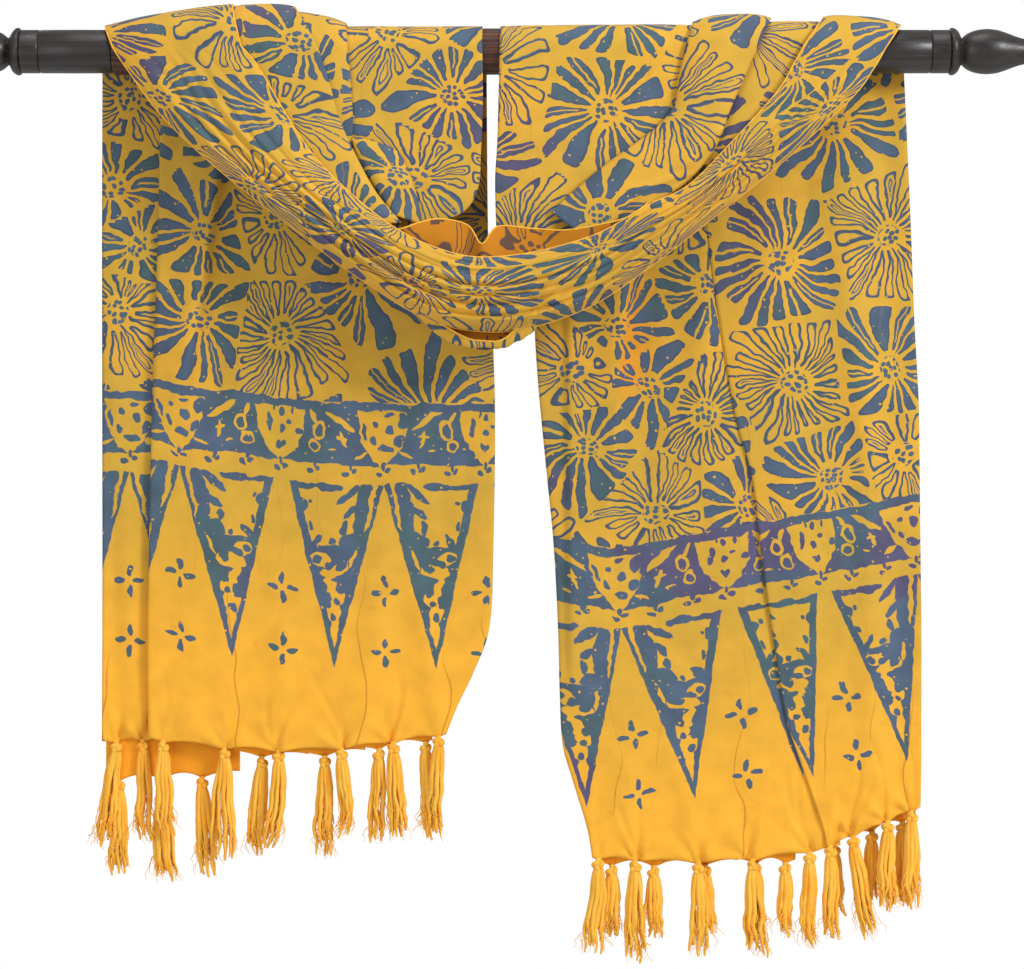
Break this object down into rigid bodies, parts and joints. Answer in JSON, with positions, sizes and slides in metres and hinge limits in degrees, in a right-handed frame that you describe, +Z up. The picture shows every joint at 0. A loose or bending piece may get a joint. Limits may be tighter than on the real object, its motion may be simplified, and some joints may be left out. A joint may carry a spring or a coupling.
{
  "type": "batik sarong draped over a wooden rod",
  "caption": "Fringed batik sarong draped over a turned wooden rod: its middle hangs in front as a swag and both fringed ends hang down behind the rod.",
  "frame": {"origin": "on the rod's axis, midway between its two end rings", "axes": "+X along the rod to the viewer's right, +Y from the viewer through the cloth, +Z up"},
  "size_m": [0.896, 0.1057, 0.7546],
  "materials": {
    "batik_cloth": "soft matt rayon, yellow ochre with slate blue print",
    "fringe": "matt twisted threads, orange yellow",
    "black_wood": "satin, near black",
    "brown_wood": "satin, reddish brown, reeded"
  },
  "bodies": {
    "root": {"rod_pole": "brown_wood", "rod_sleeve_left": "black_wood", "rod_sleeve_right": "black_wood", "rod_finial_left": "black_wood", "rod_finial_right": "black_wood", "left_back_outer": "batik_cloth", "right_back_outer": "batik_cloth", "swag": "batik_cloth", "swag_pocket": "batik_cloth", "swag_lower_fold": "batik_cloth", "left_second_pleat": "batik_cloth", "left_third_pleat": "batik_cloth", "left_inner_panel": "batik_cloth", "left_twisted_pleat": "batik_cloth", "right_second_pleat": "batik_cloth", "right_wide_pleat": "batik_cloth", "right_inner_panel": "batik_cloth", "left_front_fall": "batik_cloth", "left_side_fall": "batik_cloth", "right_middle_fall": "batik_cloth", "right_front_fall": "batik_cloth", "left_front_fringe": "fringe", "left_side_fringe": "fringe", "right_middle_fringe": "fringe", "right_front_fringe": "fringe", "left_back_fringe": "fringe", "right_back_fringe": "fringe"}
  },
  "joints": []
}
